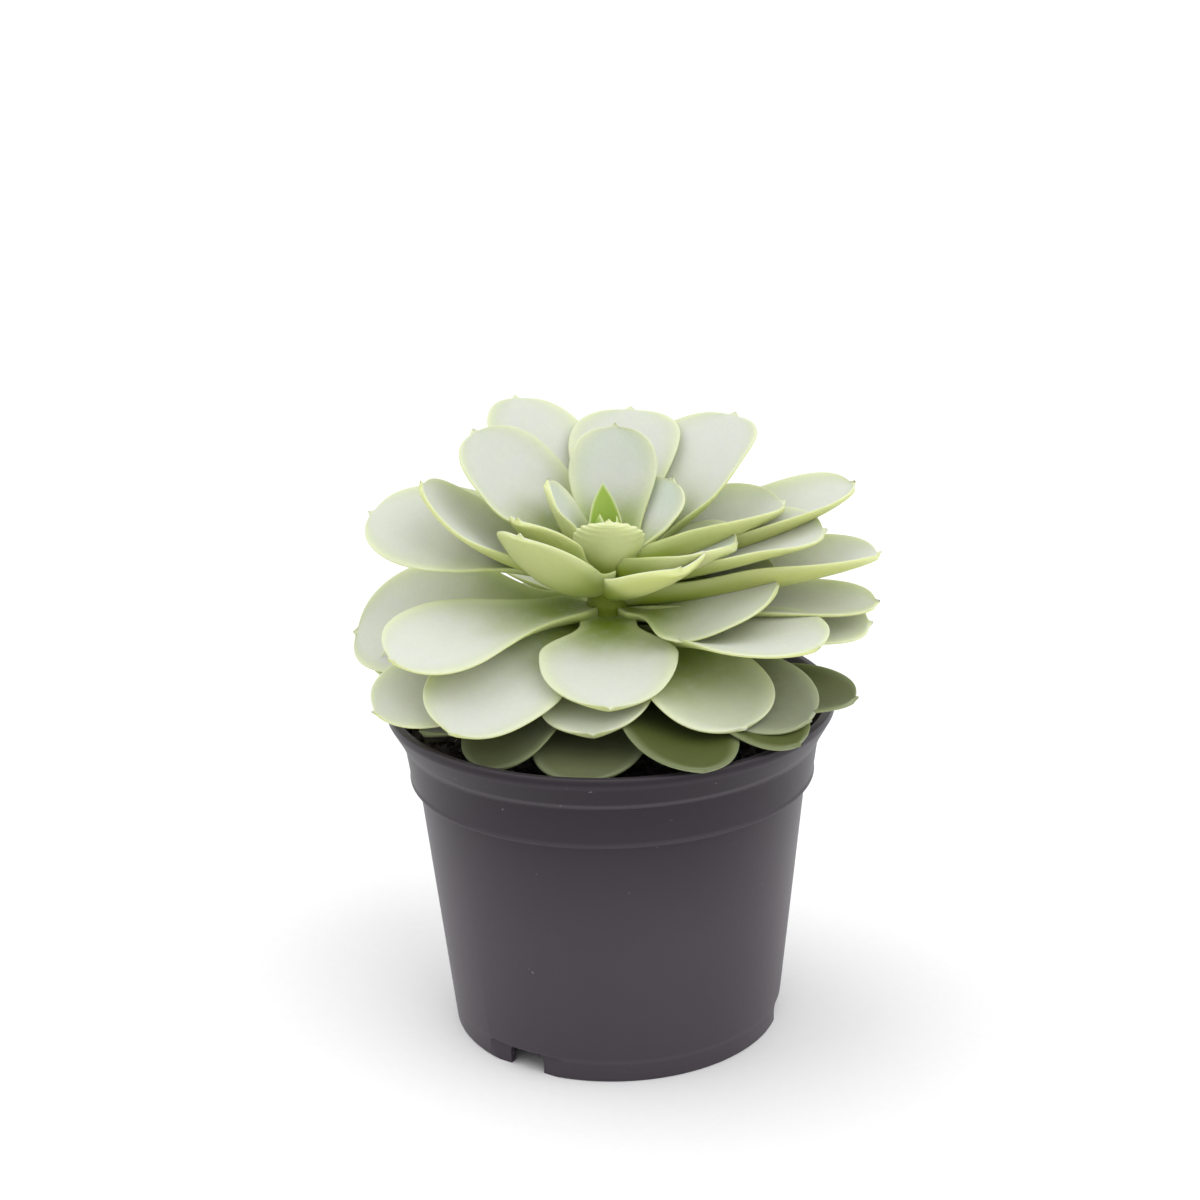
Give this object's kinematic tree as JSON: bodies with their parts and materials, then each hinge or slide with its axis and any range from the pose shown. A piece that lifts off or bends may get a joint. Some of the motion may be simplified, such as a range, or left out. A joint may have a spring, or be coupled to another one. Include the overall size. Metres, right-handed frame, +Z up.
{
  "type": "potted_succulent",
  "caption": "Potted rosette succulent: pale grey-green spoon-shaped leaves in an upper and a drooping lower tier on a short stem, in a round tapered plastic nursery pot of soil.",
  "frame": {"origin": "centre of the pot's foot, on the ground plane, on the pot's axis", "axes": "+Z up along the pot's axis, -Y towards the viewer's side, +X to the right of that view"},
  "size_m": [0.124, 0.105, 0.1435],
  "materials": {
    "pot": "matt dark purplish-grey moulded plastic",
    "soil": "dark crumbly potting soil",
    "leaf": "fleshy leaf with a pale waxy bloom, greener towards its root",
    "heart": "young bright green leaf"
  },
  "bodies": {
    "root": {"pot": "pot", "soil": "soil", "rosette": "leaf", "heart": "heart"}
  },
  "joints": []
}
